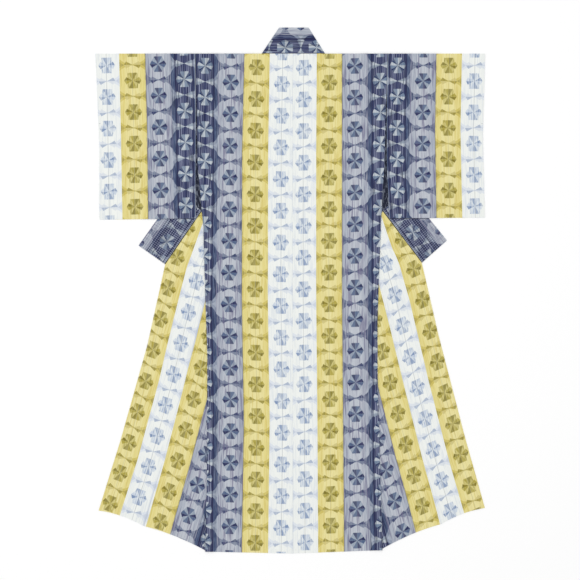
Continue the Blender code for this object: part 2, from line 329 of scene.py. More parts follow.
class KimonoDyes(bpy.types.PropertyGroup):
    """Colours of the cloth as it shows in daylight."""

    white: seen_colour("White", "Circles of the white stripe", (0.936, 0.946, 0.930))
    yellow: seen_colour("Yellow", "Circles of the yellow stripe", (0.906, 0.867, 0.622))
    grey: seen_colour("Grey", "Circles of the grey stripe", (0.733, 0.753, 0.788))
    navy: seen_colour("Navy", "Circles of the navy stripe", (0.238, 0.294, 0.424))
    thread: seen_colour("Thread", "Sewing thread", (0.72, 0.74, 0.77))


class KimonoStage(bpy.types.PropertyGroup):
    """Floor, light and camera."""

    pixel: metres("Pixel", "Size of one pixel of the picture on the cloth", 0.0033)
    picture: bpy.props.IntProperty(
        name="Picture", description="Width and height of the picture in pixels", default=580)
    centre_out: metres(
        "Picture centre, out", "Middle of the picture right of the centre-back seam", -0.0092)
    centre_down: metres(
        "Picture centre, down", "Middle of the picture below the shoulder line", 0.7788)
    lens: number("Lens", "Focal length of the camera in millimetres", 135.0)
    sky: number("Even light", "Strength of the light from all around", 0.74)
    key: number("Key light", "Power of the large soft light at the upper left", 138.0)
    floor: seen_colour("Floor", "Colour of the floor", (1.0, 1.0, 1.0))


def at(table, down):
    """How far out a line of the table lies at this distance below the shoulder."""
    downs, outs = np.array(table).T
    return float(np.interp(down, downs, outs))


def along(table, down):
    """As at(), but a line runs straight on past its ends."""
    downs, outs = np.array(table).T
    if down < downs[0]:
        return float(outs[0] + (down - downs[0]) * (outs[1] - outs[0]) / (downs[1] - downs[0]))
    if down > downs[-1]:
        return float(outs[-1] + (down - downs[-1]) * (outs[-1] - outs[-2]) / (downs[-1] - downs[-2]))
    return float(np.interp(down, downs, outs))


def steps(start, end, longest):
    """Evenly spaced values from start to end, both included, no further apart than the longest step."""
    count = max(1, round(abs(end - start) / longest + 0.49))
    return [start + (end - start) * step / count for step in range(count + 1)]


def across_cloth(start, end, count, near_start=(0,), near_end=(0,)):
    """Places from start to end, with given ones near each edge and count ones between, always as many."""
    width = abs(end - start)
    scale = min(1.0, width / 0.05)
    first = [near * scale / width for near in near_start]
    last = [1 - near * scale / width for near in reversed(near_end)]
    middle = np.linspace(first[-1], last[0], count + 2)[1:-1]
    return [start + (end - start) * float(part) for part in (*first, *middle, *last)]


def smooth(low, high, value):
    """0 below low, 1 above high, and a soft slope between."""
    part = min(1.0, max(0.0, (value - low) / (high - low)))
    return part * part * (3 - 2 * part)


def fold_out(half, down):
    """The slanting fold: straight from the neck to just inside the side seam at the hem."""
    hem_down, hem_out = half.side[-1]
    return half.neck + (hem_out - FOLD_INSET - half.neck) * down / hem_down


def straight_uv(stripes, down, out, towards):
    """Cloth place on a piece whose stripes run straight down. Towards is 1 where v runs down."""
    lines = sorted((along(rows, down), u) for u, rows in stripes.lines)
    outs = [line_out for line_out, u in lines]
    us = [u for line_out, u in lines]
    u = stretched(outs, us, out)
    v = towards * (down - stripes.start + stripes.slant * out) * PITCH / stripes.pitch
    return u, v


def stretched(places, values, place):
    """Between known places the value is interpolated, and beyond them it runs on at true width."""
    rising = 1 if values[-1] > values[0] else -1
    if place < places[0]:
        return values[0] - rising * (places[0] - place)
    if place > places[-1]:
        return values[-1] + rising * (place - places[-1])
    return float(np.interp(place, places, values))


def slanting_uv(half, stripes, down, out, inward):
    """Cloth place on a piece whose stripes run along the front edge.

    Inward is 1 where u rises towards the body, and -1 where it rises towards the front edge.
    """
    sine, cosine = SLANT[half.name]
    (line_u, rows), = stripes.lines
    inside = (along(rows, down) - out) * cosine
    length = down * cosine + out * sine
    towards = inward * -half.sign
    v = towards * (length - stripes.start - stripes.slant * inside) * PITCH / stripes.pitch
    return line_u + inward * inside, v


# How a ridge bends: the part of its half-width, its waves from end to end, and their shift per metre out
RIDGE_BEND = 0.25
RIDGE_WAVES = 1.3
RIDGE_SHIFT = 40


def relief(points):
    """How much the folds left in the cloth raise it at these places."""
    outs = points[:, 0] - CENTRE_X
    downs = SHOULDER_Y - points[:, 1]
    raised = np.zeros(len(points))
    for ridge in RIDGES:
        (out, down), (end_out, end_down) = ridge.start, ridge.end
        run_out, run_down = end_out - out, end_down - down
        length = hypot(run_out, run_down)
        part = ((outs - out) * run_out + (downs - down) * run_down) / length ** 2
        beside = ((outs - out) * run_down - (downs - down) * run_out) / length
        wave = np.sin(2 * pi * part * RIDGE_WAVES + out * RIDGE_SHIFT)
        bend = RIDGE_BEND * ridge.half_width * wave
        taper = np.clip(part * (1 - part) * 4, 0, 1)
        raised += ridge.height * taper * np.exp(-((beside - bend) / ridge.half_width) ** 2)
    return raised


def clear_selection():
    """Leave edit mode and select nothing."""
    if bpy.context.object and bpy.context.object.mode != "OBJECT":
        bpy.ops.object.mode_set(mode="OBJECT")
    bpy.ops.object.select_all(action="DESELECT")


def make_sheet(name, rows, wall, material, ring=False):
    """A sheet of cloth from rows of named places, thickened on both sides of its middle.

    rows is a list of dictionaries from a column's name to ((out, up, height), (u, v)), with out signed.
    Neighbouring columns that both rows hold next to each other are joined by a face. A ring joins its
    last row to its first.
    """
    points, places, index = [], [], []
    for row in rows:
        index.append({})
        for column, (place, cloth_place) in row.items():
            index[-1][column] = len(points)
            points.append(place)
            places.append(cloth_place)
    points = np.array(points) + (CENTRE_X, SHOULDER_Y, 0)
    points[:, 2] += relief(points)

    faces, corners = [], []
    row_pairs = list(zip(index, index[1:] + index[:1]))
    if not ring:
        row_pairs.pop()
    for pair, (near, far) in enumerate(row_pairs):
        closing = ring and pair == len(row_pairs) - 1
        far_order = {column: place for place, column in enumerate(far)}
        columns = list(near)
        for first, second in zip(columns, columns[1:]):
            if first in far and far_order.get(second) == far_order[first] + 1:
                faces.append((near[first], near[second], far[second], far[first]))
                ahead = (near[second], near[first]) if closing else (far[second], far[first])
                corners += [places[near[first]], places[near[second]], places[ahead[0]], places[ahead[1]]]

    mesh = bpy.data.meshes.new(name)
    mesh.from_pydata(points.tolist(), [], faces)
    layer = mesh.uv_layers.new(name="cloth")
    layer.data.foreach_set("uv", np.array(corners).ravel())
    mesh.materials.append(material)
    piece = bpy.data.objects.new(name, mesh)
    bpy.context.scene.collection.objects.link(piece)
    finish_sheet(piece, wall)
    return piece


def finish_sheet(piece, wall):
    """Give the sheet its wall, turn its faces outwards and smooth all but its cut edges."""
    clear_selection()
    piece.select_set(True)
    bpy.context.view_layer.objects.active = piece
    thicken = piece.modifiers.new("wall", "SOLIDIFY")
    thicken.thickness = wall
    thicken.offset = 0.0
    thicken.use_even_offset = True
    bpy.ops.object.modifier_apply(modifier=thicken.name)
    bpy.ops.object.mode_set(mode="EDIT")
    bpy.ops.mesh.select_all(action="SELECT")
    bpy.ops.mesh.normals_make_consistent(inside=False)
    bpy.ops.object.mode_set(mode="OBJECT")
    bpy.ops.object.shade_smooth_by_angle(angle=pi / 4)
    piece.select_set(False)


def sign(operation, swapped=False):
    """One of the signs of arithmetic for signals. Swapped is for a number that stands before the signal."""
    def work_out(self, *other):
        values = (*other, self) if swapped else (self, *other)
        return self.graph.math(operation, *values)
    return work_out


class Signal:
    """A number that a material works out, with the usual signs of arithmetic."""

    __add__ = sign("ADD")
    __radd__ = sign("ADD", swapped=True)
    __sub__ = sign("SUBTRACT")
    __rsub__ = sign("SUBTRACT", swapped=True)
    __mul__ = sign("MULTIPLY")
    __rmul__ = sign("MULTIPLY", swapped=True)
    __truediv__ = sign("DIVIDE")
    __abs__ = sign("ABSOLUTE")

    def __init__(self, graph, socket):
        self.graph = graph
        self.socket = socket


class Graph:
    """The nodes of one material, made by short words."""

    def __init__(self, name):
        """A new material with its shader."""
        self.material = bpy.data.materials.new(name)
        self.material.use_nodes = True
        self.tree = self.material.node_tree
        self.shader = self.tree.nodes["Principled BSDF"]

    def node(self, kind):
        """A new node of a kind of shader node."""
        return self.tree.nodes.new("ShaderNode" + kind)

    def feed(self, socket, value):
        """Link a signal to a socket, or set a plain value on it."""
        if isinstance(value, Signal):
            self.tree.links.new(value.socket, socket)
        else:
            socket.default_value = value

    def math(self, operation, *values):
        """The outcome of one operation on signals and numbers."""
        node = self.node("Math")
        node.operation = operation
        for socket, value in zip(node.inputs, values):
            self.feed(socket, value)
        return Signal(self, node.outputs[0])

    def cloth_place(self):
        """The piece's place on the woven cloth, u and v, in metres."""
        uv = self.node("UVMap")
        uv.uv_map = "cloth"
        split = self.node("SeparateXYZ")
        self.tree.links.new(uv.outputs["UV"], split.inputs[0])
        return Signal(self, split.outputs["X"]), Signal(self, split.outputs["Y"])

    def page_down(self):
        """How far below the shoulder line a place is, in metres."""
        place = self.node("TexCoord")
        split = self.node("SeparateXYZ")
        self.tree.links.new(place.outputs["Object"], split.inputs[0])
        return SHOULDER_Y - Signal(self, split.outputs["Y"])

    def soft_step(self, value, low, high):
        """0 where value is under low, 1 where it is over high."""
        node = self.node("MapRange")
        node.interpolation_type = "SMOOTHSTEP"
        self.feed(node.inputs["Value"], value)
        self.feed(node.inputs["From Min"], low)
        self.feed(node.inputs["From Max"], high)
        return Signal(self, node.outputs["Result"])

    def soft_below(self, value, limit, blur):
        """1 where value is under the limit, with a blurred edge."""
        return 1.0 - self.soft_step(value, limit - blur, limit + blur)

    def is_number(self, value, number):
        """1 where a whole value is this number, and 0 elsewhere."""
        return self.math("COMPARE", value, number, 0.5)

    def streaks(self, u, v, threads, length, seed):
        """Uneven dyeing along the warp: noise that is fine across the cloth and long along it."""
        place = self.node("CombineXYZ")
        self.feed(place.inputs["X"], u * threads)
        self.feed(place.inputs["Y"], v * (1 / length))
        place.inputs["Z"].default_value = seed
        noise = self.node("TexNoise")
        noise.inputs["Scale"].default_value = 1.0
        noise.inputs["Detail"].default_value = 1.0
        self.tree.links.new(place.outputs[0], noise.inputs["Vector"])
        return Signal(self, noise.outputs["Fac"])

    def by_stripe(self, u, colours):
        """The colour of the stripe that u lies in."""
        ramp = self.node("ValToRGB")
        ramp.color_ramp.interpolation = "CONSTANT"
        for stripe, colour in enumerate(colours):
            if stripe < 2:
                element = ramp.color_ramp.elements[stripe]
            else:
                element = ramp.color_ramp.elements.new(stripe / len(colours))
            element.position = stripe / len(colours)
            element.color = (*linear(colour), 1)
        self.feed(ramp.inputs[0], u / (STRIPE * len(colours)))
        return Signal(self, ramp.outputs["Color"])

    def mix(self, amount, below, above):
        """Colours mixed by an amount from 0 to 1."""
        node = self.node("Mix")
        node.data_type = "RGBA"
        self.feed(node.inputs["Factor"], amount)
        below_socket, above_socket = (s for s in node.inputs if s.type == "RGBA")
        self.feed(below_socket, below if isinstance(below, Signal) else (*linear(below), 1))
        self.feed(above_socket, above if isinstance(above, Signal) else (*linear(above), 1))
        return Signal(self, next(s for s in node.outputs if s.type == "RGBA"))


def linear(colour):
    """A colour as seen, 0 to 1, as the light that it reflects."""
    return tuple(part / 12.92 if part <= 0.04045 else ((part + 0.055) / 1.055) ** 2.4 for part in colour)


def rgb(red, green, blue):
    """A colour as seen, from 0 to 255."""
    return red / 255, green / 255, blue / 255


# Sizes of the dyed motifs, from the middle of a wheel or of the bow that lies between two wheels
WHEEL_HEIGHT = 0.0258
WHEEL_SIDE = 0.0238
WHEEL_BOX = 0.0165
CIRCLE_WIDTH = 0.0545
CIRCLE_HEIGHT = 0.0498
NAVY_CIRCLE_WIDTH = 0.0462
NAVY_CIRCLE_HEIGHT = 0.0525
NAVY_BOW_WIDTH = 0.0258
EDGE_WEDGE_FROM = 0.0285
SPOKE = 0.0004
SECTOR = pi / 6
SELVAGE_LINE = 0.3277

# How far lines of dye lie from the middle of their stripe, and the steps of bars, checks and threads
FOLD_LINE = 0.0375
GREY_FOLD_LINE = 0.0312
INNER_LINE = 0.0226
NAVY_SIDE_LINE = 0.0268
NAVY_BARS_TO = 0.0235
BAR_STEP = 0.0062
CHECK_STEPS = (0.0072, 0.0068)
THREAD_STEP = 0.0011

# Slopes of a hexagon's sides: cosine and tangent of 30 degrees
HEXAGON_COSINE = 0.866
HEXAGON_SLOPE = 0.577

# Colours as seen, from 0 to 255, for the white, yellow, grey and navy stripe in turn
STRIPE_DYES = {
    "ground": ((220, 226, 233), (203, 188, 102), (120, 129, 151), (150, 159, 175)),
    "circle side": ((228, 232, 232), (217, 200, 106), (146, 155, 172), (56, 72, 108)),
    "dark": ((112, 136, 176), (110, 100, 4), (0, 22, 78), (22, 46, 92)),
    "light": ((216, 224, 230), (206, 196, 126), (156, 168, 182), (194, 202, 208)),
    "middling": ((198, 209, 224), (168, 156, 66), (76, 96, 130), (118, 136, 160)),
    "level line": ((206, 213, 226), (168, 156, 86), (66, 76, 112), (168, 177, 190)),
    "wedge": ((194, 202, 216), (154, 142, 72), (84, 94, 122), (172, 180, 192)),
    "bow dark": ((168, 180, 200), (152, 140, 66), (46, 60, 100), (150, 162, 176)),
    "bow pale": ((219, 224, 229), (206, 195, 132), (118, 128, 150), (152, 164, 178)),
    "wheel ink": ((112, 138, 178), (132, 122, 34), (48, 64, 104), (104, 120, 146)),
    "shade": ((200, 209, 220), (204, 184, 92), (106, 102, 134), (26, 32, 64)),
    "pale": ((246, 247, 244), (238, 230, 172), (204, 208, 214), (140, 150, 174)),
}


class Dyeing(Graph):
    """The cotton's pattern: cloth folded and clamped for dyeing, so that wheels run down each stripe.

    side is the distance from the middle of a stripe. true_down is the distance along the cloth from the
    nearest wheel, down is the same with ragged edges, and bow_down is the distance from the nearest bow.
    Each paint function lays its colour over the colour so far: dyes, and painted shade where another piece
    lies on the cloth and in the seam beyond the selvage.
    """

    def __init__(self, name, dyes, on_collar):
        super().__init__(name)
        u, v = self.u, self.v = self.cloth_place()
        stripe = self.math("MINIMUM", self.math("MAXIMUM", self.math("FLOOR", u / STRIPE), 0.0), 3.0)
        self.kinds = [self.is_number(stripe, kind) for kind in (0.0, 1.0, 2.0, 3.0)]
        self.white, self.yellow, self.grey, self.navy = self.kinds
        self.paler = self.white + self.yellow
        self.on_collar = on_collar

        self.broad = self.streaks(u, v, 110.0, 0.35, 1.0)
        self.coarse = self.streaks(u, v, 210.0, 0.09, 0.0)
        self.fine = self.streaks(u, v, 430.0, 0.07, 5.0)
        self.short = self.streaks(u, v, 260.0, 0.020, 13.0)
        self.mottled = self.soft_step(self.short, 0.48, 0.62)
        self.ragged = (self.streaks(u, v, 900.0, 0.02, 9.0) - 0.5) * 0.0045

        self.across = u - (stripe + 0.5) * STRIPE
        self.side = abs(self.across)
        row = v / PITCH + self.math("MODULO", stripe, 2.0) * 0.5
        self.true_down = (self.math("FRACT", row + 0.5) - 0.5) * PITCH
        self.down = self.true_down + self.ragged
        from_bow = self.true_down - self.math("SIGN", self.true_down) * (PITCH / 2)
        self.bow_down = from_bow + self.ragged * 0.6

        bars = self.side + (self.coarse - 0.5) * 0.0030
        self.bars = self.math("COSINE", bars * (2 * pi / BAR_STEP)) * 0.5 + 0.5
        self.circles = self.by_stripe(u, (dyes.white[:], dyes.yellow[:], dyes.grey[:], dyes.navy[:]))
        self.dye = {role: self.by_stripe(u, [rgb(*colour) for colour in colours])
                    for role, colours in STRIPE_DYES.items()}
        self.colour = self.dye["ground"]

    def paint(self, amount, dye):
        """Lay a colour over the colour so far: a dye, or painted shade."""
        self.colour = self.mix(amount, self.colour, dye)

    def amounts(self, *of_stripes):
        """An amount of its own for the white, yellow, grey and navy stripe in turn."""
        parts = [kind * amount for kind, amount in zip(self.kinds, of_stripes)]
        return sum(parts[1:], parts[0])

    def wheel_mask(self, height):
        """1 inside the hexagon of a wheel, with a bled edge."""
        tall = abs(height) / WHEEL_HEIGHT
        slanted = (self.side * HEXAGON_COSINE + abs(height) * 0.5) / WHEEL_SIDE
        return self.soft_below(self.math("MAXIMUM", tall, slanted), 1.0, 0.04)

    def wheel_colour(self, height, dark, light, middling):
        """The sectors of a wheel, dark, light and middling in turn, with light spokes between."""
        mirrored = self.across * (1.0 - self.yellow * 2.0)
        turn = self.math("ARCTAN2", 0.0 - height, mirrored) / SECTOR + 12.0
        sector = self.math("MODULO", self.math("FLOOR", turn) + self.navy * 2.0, 3.0)
        sectors = self.mix(self.is_number(sector, 1.0), dark, light)
        sectors = self.mix(self.is_number(sector, 2.0), sectors, middling)
        upright = self.soft_step(abs(height) - self.side, -0.0010, 0.0010)
        sectors = self.mix(upright * 0.14, sectors, light)
        reach = self.math("SQRT", self.side * self.side + height * height)
        beside = (0.5 - abs(self.math("FRACT", turn) - 0.5)) * SECTOR * reach
        spoke = self.soft_below(beside, SPOKE, 0.0006)
        return self.mix(spoke * (0.5 + self.paler * 0.4), sectors, light)

    def paint_circles(self):
        """Circles round the wheels, deeper towards their sides, on a mottled ground."""
        width = self.navy * (NAVY_CIRCLE_WIDTH - CIRCLE_WIDTH) + CIRCLE_WIDTH
        height = self.navy * (NAVY_CIRCLE_HEIGHT - CIRCLE_HEIGHT) + CIRCLE_HEIGHT
        sideways = self.math("POWER", (self.side + self.ragged * 0.4) / width, 2.0)
        reach = self.math("SQRT", sideways + self.math("POWER", self.true_down / height, 2.0))
        self.in_circle = self.soft_below(reach, 1.0, 0.02)
        self.paint(self.in_circle, self.circles)
        deeper = self.soft_step(self.side + (self.broad - 0.5) * 0.012, 0.0185, 0.0290)
        self.paint(deeper * self.in_circle * self.amounts(0.2, 0.42, 0.45), self.dye["circle side"])

        off_circle = 1.0 - self.in_circle
        self.paint(off_circle * self.mottled * self.grey * 0.55, rgb(84, 90, 118))
        self.paint(off_circle * self.mottled * self.navy * 0.45, rgb(86, 98, 128))
        near_navy = self.soft_step(self.across + (self.short - 0.5) * 0.02, 0.0320, 0.0370)
        self.paint(off_circle * near_navy * self.grey * 0.9, rgb(38, 54, 94))
        near_yellow = self.soft_below(self.across, -0.0345, 0.0015)
        near_yellow = near_yellow * self.soft_below(abs(self.bow_down), 0.012, 0.004)
        self.paint(near_yellow * self.grey * (0.3 + self.mottled * 0.6), rgb(54, 66, 104))

    def paint_navy_bars(self):
        """The navy stripe's barred ground between wheel and bow, and its dark sides."""
        circle = self.navy * self.in_circle
        barred = self.navy * self.soft_below(self.side, NAVY_BARS_TO, 0.0014) * self.in_circle
        lit = self.soft_step(self.side, 0.0010, 0.0130) * self.soft_step(self.bars, 0.35, 0.90)
        self.paint(barred * 0.9, rgb(42, 48, 90))
        self.paint(barred * (lit * (0.5 + self.fine * 0.9)), rgb(138, 143, 168))
        self.paint(circle * self.soft_step(self.side, 0.022, 0.028) * self.on_collar, rgb(36, 42, 84))
        flecked = circle * self.mottled * self.soft_step(self.side, 0.0300, 0.0330)
        self.paint(flecked * 0.35, rgb(104, 120, 150))

    def paint_fold_lines(self):
        """Thin lines beside each wheel, where the folds of the cloth lay, and lines level with the bows."""
        fold_side = self.grey * GREY_FOLD_LINE + (1.0 - self.grey) * FOLD_LINE
        fold_line = self.soft_below(abs(self.side - fold_side), 0.0008, 0.0007)
        fold_line = fold_line * self.soft_below(abs(self.true_down), 0.020, 0.008) * (0.3 + self.coarse)
        self.paint(fold_line * self.amounts(0.4, 0.4, 0.6), self.dye["middling"])
        inner_line = self.soft_below(abs(self.side - INNER_LINE), 0.0008, 0.0007)
        inner_line = inner_line * self.soft_step(self.coarse, 0.35, 0.6)
        self.paint(inner_line * self.grey * 0.45, self.dye["middling"])
        level = self.soft_below(abs(self.bow_down), 0.0012, 0.0012)
        level = level * self.soft_step(self.side, 0.0170, 0.0230)
        self.paint(level * (0.35 + self.short * 0.6), self.dye["level line"])

    def paint_wedges(self):
        """Small wedges at the sides of a stripe, level with the bows."""
        inside = (self.side - EDGE_WEDGE_FROM) * 0.8 - abs(self.bow_down)
        self.paint(self.soft_step(inside, -0.0006, 0.0010) * 0.7, self.dye["wedge"])

    def paint_bows(self):
        """Bows between the wheels: the left and right sectors of a wheel alone, one half of each paler."""
        cut_bow = self.soft_below(abs(self.bow_down) - self.side * HEXAGON_SLOPE, 0.0, 0.0008)
        full_bow = self.soft_below(abs(self.bow_down) - self.side * 0.48, 0.0, 0.0008)
        full_bow = full_bow * self.soft_below(self.side, NAVY_BOW_WIDTH, 0.0008)
        cut_bow = self.wheel_mask(self.bow_down) * cut_bow
        self.bow = cut_bow * (1.0 - self.navy) + full_bow * self.navy
        dark, light, pale = (self.dye[role] for role in ("bow dark", "light", "bow pale"))
        self.paint(self.bow * 0.95, self.wheel_colour(self.bow_down, dark, light, pale))

    def paint_wheels(self):
        """Wheels. Where little dye reached the cloth they are streaky and run out along it into a box."""
        box = self.math("MAXIMUM", abs(self.down) / WHEEL_HEIGHT, self.side / WHEEL_BOX)
        box = self.soft_below(box, 1.0, 0.04)
        inky = self.soft_step(self.short, 0.50, 0.62)
        self.paint(box * self.paler * (0.15 + inky * 0.5), self.dye["light"])
        body = self.amounts(0.50, 0.74, 0.95, 0.95)
        streaky = body + (1.0 - body) * self.soft_step(self.coarse, 0.42, 0.58)
        steep = self.soft_step(abs(self.down) - self.side * HEXAGON_SLOPE, -0.0004, 0.0012)
        steep = steep * self.soft_step(self.side, 0.0158, 0.0172)
        self.wheel = self.wheel_mask(self.down) * (1.0 - steep * self.paler * 0.75)
        dark, light, middling = (self.dye[role] for role in ("dark", "light", "middling"))
        self.paint(self.wheel * streaky, self.wheel_colour(self.down, dark, light, middling))

        ink = self.dye["wheel ink"]
        self.paint(self.wheel * inky * self.amounts(0.16, 0.28, 0.18, 0.26), ink)
        warp_lines = self.soft_step(self.bars, 0.55, 0.95) * (0.45 + inky * 0.55)
        self.paint(box * (warp_lines * self.amounts(0.52, 0.42)), ink)
        box_side = box * self.soft_step(self.side, WHEEL_BOX - 0.0032, WHEEL_BOX - 0.0018)
        self.paint(box_side * self.paler * (0.2 + inky * 0.6), ink)

    def paint_woven_lines(self):
        """The white stripe's darker edge, and dark threads woven into the stripes and between them."""
        self.paint(self.soft_below(self.u, 0.0022, 0.0014) * self.white * 0.55, rgb(176, 186, 204))
        middle = self.soft_below(abs(self.across + 0.0010), 0.0007, 0.0006)
        self.paint(middle * self.amounts(0.55, 0.35), rgb(98, 105, 118))
        beside_yellow = self.soft_below(self.across, 0.0022 - STRIPE / 2, 0.0010) * self.grey
        self.paint(beside_yellow * 0.6, rgb(92, 96, 106))
        beside_grey = self.soft_step(self.across, STRIPE / 2 - 0.0036, STRIPE / 2 - 0.0010)
        self.paint(beside_grey * self.yellow * (0.3 + self.mottled * 0.5), rgb(140, 130, 76))

    def paint_warp(self):
        """Warp streaks all over, dark and pale, stronger where the cloth is dark."""
        depth = self.amounts(0.34, 0.50, 0.72, 0.70) * (1.0 - self.wheel * 0.50)
        depth = depth * (1.0 + self.on_collar * 0.35)
        self.paint(self.soft_step(self.coarse, 0.50, 0.66) * depth, self.dye["shade"])
        bare = 0.60 - self.wheel * 0.4 - self.bow * 0.3
        self.paint(self.soft_step(self.fine, 0.50, 0.66) * depth * bare, self.dye["pale"])
        self.paint(self.soft_below(self.broad, 0.42, 0.10) * depth * 0.3, self.dye["shade"])
        side_line = self.soft_below(abs(self.side - NAVY_SIDE_LINE), 0.0025, 0.0008)
        self.paint(self.navy * side_line * (0.35 + self.in_circle * 0.45), rgb(30, 30, 70))

    def paint_checks(self):
        """Fine checks where the weft shows as well as the warp."""
        weft = self.streaks(self.v, self.u, 340.0, 0.05, 7.0)
        self.paint(self.soft_step(weft, 0.52, 0.64) * 0.16, self.dye["pale"])
        self.paint(self.soft_below(weft, 0.44, 0.06) * 0.28, self.dye["shade"])
        waves = [self.math("COSINE", place * (2 * pi / check_step))
                 for place, check_step in zip((self.u, self.v), CHECK_STEPS)]
        grid = (waves[0] + waves[1]) * 0.5
        depth = (self.navy + self.grey * 0.35) * (1.0 - self.wheel * 0.7) * (1.0 - self.bow * 0.7)
        self.paint(self.soft_step(grid, 0.10, 0.80) * depth * 0.5, rgb(170, 177, 196))
        self.paint(self.soft_below(grid, -0.10, 0.50) * depth * 0.6, rgb(26, 30, 70))

    def paint_shadow_line(self, line):
        """Painted shadow: the cloth darkened at this distance below the shoulder line, where another piece
        lies on it.
        """
        near = self.soft_below(abs(self.page_down() - line), 0.0015, 0.0012)
        self.paint(near * 0.75, rgb(30, 33, 62))

    def paint_selvage_and_seam_shade(self):
        """The selvage: a pale line, and beyond it painted shade of the seam, very dark with pale flecks."""
        # Painted shade of the seam, laid on the cloth beyond the selvage line
        seam_shade = self.mix(
            self.soft_step(self.short, 0.52, 0.64) * 0.5, rgb(22, 27, 46), rgb(140, 148, 164))
        self.paint(self.soft_step(self.u, SELVAGE_LINE + 0.0005, SELVAGE_LINE + 0.0012), seam_shade)
        selvage = self.soft_below(abs(self.u - SELVAGE_LINE), 0.0006, 0.0004)
        self.paint(selvage * (0.45 + self.broad * 0.8), rgb(184, 191, 202))


def dyed_cotton(name, dyes, on_collar=0.0, checks=False, shadow_line=None):
    """Plain-woven cotton with the dyed pattern.

    on_collar deepens the circles of the navy stripe and checks shows its weft as well. The last argument is
    how far below the shoulder line a painted shadow darkens the cloth, where another piece lies on it.
    """
    graph = Dyeing(name, dyes, on_collar)
    graph.paint_circles()
    graph.paint_navy_bars()
    graph.paint_fold_lines()
    graph.paint_wedges()
    graph.paint_bows()
    graph.paint_wheels()
    graph.paint_woven_lines()
    graph.paint_warp()
    if checks:
        graph.paint_checks()
    # Painted shadow where another piece lies on the cloth
    if shadow_line is not None:
        graph.paint_shadow_line(shadow_line)
    # Selvage line, with painted seam shade beyond it
    graph.paint_selvage_and_seam_shade()

    graph.tree.links.new(graph.colour.socket, graph.shader.inputs["Base Color"])
    weave_bump(graph, graph.u, graph.v, graph.coarse)
    graph.shader.inputs["Roughness"].default_value = 0.86
    graph.shader.inputs["Specular IOR Level"].default_value = 0.25
    graph.shader.inputs["Sheen Weight"].default_value = 0.06
    graph.shader.inputs["Sheen Roughness"].default_value = 0.55
    return graph.material


def weave_bump(graph, u, v, coarse):
    """Plain weave: warp and weft threads that pass over each other in turn."""
    thread = 2 * pi / THREAD_STEP
    warp = graph.math("SINE", u * thread)
    weft = graph.math("SINE", v * thread)
    height = warp * weft * 0.5 + warp * 0.3 + coarse * 0.8
    bump = graph.node("Bump")
    bump.inputs["Strength"].default_value = 0.25
    bump.inputs["Distance"].default_value = 0.0002
    graph.tree.links.new(height.socket, bump.inputs["Height"])
    graph.tree.links.new(bump.outputs["Normal"], graph.shader.inputs["Normal"])


def cotton(dyes):
    """The dyed cotton, made once and worn by every piece but the collar."""
    return bpy.data.materials.get("dyed_cotton") or dyed_cotton("dyed_cotton", dyes)


def collar_cotton(dyes):
    """The same cotton on the collar's ends, with a painted shadow where the bottoms of the sleeves lie on
    it.
    """
    return dyed_cotton("collar_cotton", dyes, on_collar=0.8, checks=True, shadow_line=SLEEVE_FOOT_SHADOW)


def neck_cotton(dyes):
    """The same cotton behind the neck, with painted shade along its seam."""
    return dyed_cotton("neck_cotton", dyes, on_collar=0.8, shadow_line=NECK_SHADOW_LINE)


def sewing_thread(dyes):
    """Twisted cotton thread."""
    graph = Graph("sewing_thread")
    place = graph.node("TexCoord")
    noise = graph.node("TexNoise")
    noise.inputs["Scale"].default_value = 900.0
    graph.tree.links.new(place.outputs["Object"], noise.inputs["Vector"])
    worn = tuple(part * 0.82 for part in dyes.thread)
    colour = graph.mix(Signal(graph, noise.outputs["Fac"]), dyes.thread[:], worn)
    graph.tree.links.new(colour.socket, graph.shader.inputs["Base Color"])
    graph.shader.inputs["Roughness"].default_value = 0.7
    return graph.material


def seam_rise(distance, cloth):
    """How much the turned-in edges lift the cloth at this distance from a seam, which itself stays low."""
    lifted = 1 - exp(-distance / SEAM_ROUNDING)
    return cloth.seam_swell * lifted * (1 - smooth(0.6, 1.1, distance / cloth.seam_width))


def hem_rise(distance, cloth):
    """How much higher the doubled hem stands at this distance from its edge."""
    return cloth.hem_swell * (1 - smooth(cloth.hem_width - 0.0015, cloth.hem_width + 0.0005, distance))


def armhole_groove(down, cloth):
    """How far the upper cloth stands back from the seam between body and sleeve."""
    opened = GROOVE_AT_TOP + (1 - GROOVE_AT_TOP) * smooth(*GROOVE_OPENS, down)
    return cloth.armhole_groove * opened * (1 - smooth(*GROOVE_CLOSES, down))


def back_side(half, down, cloth):
    """The side edge of the back."""
    return at(half.side, down) - GAP / 2 - armhole_groove(down, cloth)


def front_side(half, down):
    """The side edge of the front under the back, which keeps to the sleeve as far as the collar."""
    side = at(half.side, down)
    opened = smooth(*FRONT_LEAVES_SLEEVE, down)
    return side - GAP / 2 + (at(half.sleeve_seam, down) - side + GAP) * (1 - opened)


def under_outs(half, down, side):
    """Columns of the back and of the front under it, from the side seam to the slanting fold."""
    return across_cloth(side, fold_out(half, down), UNDER_COLUMNS, NEAR_SEAM)


def body_rows(half, cloth):
    """Rows of one length of cloth: up the back, over the shoulder and down the folded front."""
    hem_down = half.side[-1][0]
    hem_rows = [hem_down - near for near in NEAR_HEM]
    rows = [back_row(half, down, cloth) for down in hem_rows + steps(hem_rows[-1], 0, cloth.fineness)[1:]]
    rows += [shoulder_row(half, step / FOLD_STEPS, cloth) for step in range(1, FOLD_STEPS)]
    front_downs = [0] + steps(FIRST_FOLD_ROW, hem_rows[-1], cloth.fineness) + hem_rows[-2::-1]
    rows += [front_row(half, down, cloth) for down in front_downs]
    return rows


def back_up(half, down, out):
    """How far up the page a place of the back lies: its hem dips at the centre, and its neck is cut."""
    if down < SHOULDER_ROW and out < half.neck:
        return NECK_SEAM - GAP / 2
    hem_down, hem_out = half.side[-1]
    near_hem = smooth(hem_down - HEM_DIP_LENGTH, hem_down, down)
    return -down - near_hem * float(np.interp(out, (0, hem_out), (CENTRE_HEM - hem_down, 0)))


